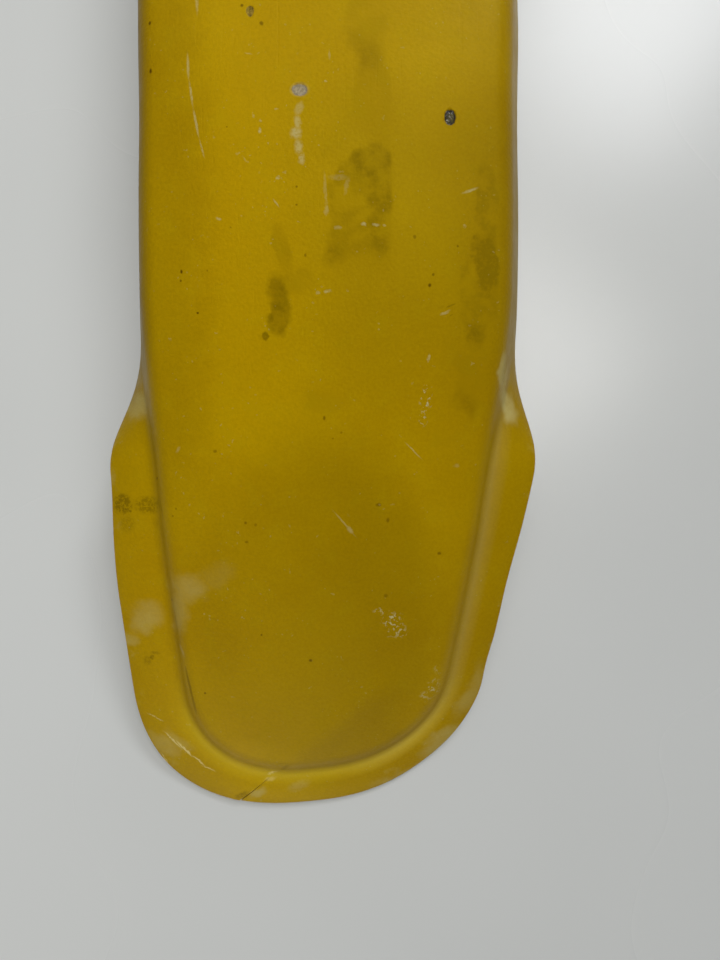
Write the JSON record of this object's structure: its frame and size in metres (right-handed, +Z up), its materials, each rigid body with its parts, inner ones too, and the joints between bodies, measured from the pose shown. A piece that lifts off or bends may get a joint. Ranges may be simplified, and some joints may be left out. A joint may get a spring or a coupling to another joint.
{
  "type": "motorcycle front mudguard",
  "caption": "Moulded plastic front mudguard for an off-road motorcycle: long arched channel with flared flanges and lipped tips, rubber-mounted on bolts through a steel plate.",
  "frame": {"origin": "centre of the four-bolt pattern, on the top face of the crown", "axes": "+Z up and out of the crown, towards the fork clamp; +Y along the mudguard to the front of the motorcycle; +X across it"},
  "size_m": [0.1622, 0.7959, 0.0935],
  "materials": {
    "shell_plastic": "yellow moulded polypropylene with a fine pebbly grain, worn and stained",
    "zinc_plate": "zinc-plated sheet steel, dulled",
    "grommet_rubber": "black moulded rubber",
    "collar_steel": "turned zinc-plated steel",
    "bolt_steel": "zinc-plated steel with light wear",
    "washer_steel": "stamped zinc-plated steel",
    "spring_steel": "hardened spring steel, zinc-plated"
  },
  "bodies": {
    "root": {"mudguard_shell": "shell_plastic", "stiffener_plate": "zinc_plate", "grommet_1": "grommet_rubber", "grommet_2": "grommet_rubber", "grommet_3": "grommet_rubber", "grommet_4": "grommet_rubber", "collar_1": "collar_steel", "collar_2": "collar_steel", "collar_3": "collar_steel", "collar_4": "collar_steel", "mount_bolt_1": "bolt_steel", "mount_bolt_2": "bolt_steel", "mount_bolt_3": "bolt_steel", "mount_bolt_4": "bolt_steel", "plain_washer_1": "washer_steel", "plain_washer_2": "washer_steel", "plain_washer_3": "washer_steel", "plain_washer_4": "washer_steel", "spring_washer_1": "spring_steel", "spring_washer_2": "spring_steel", "spring_washer_3": "spring_steel", "spring_washer_4": "spring_steel"}
  },
  "joints": []
}
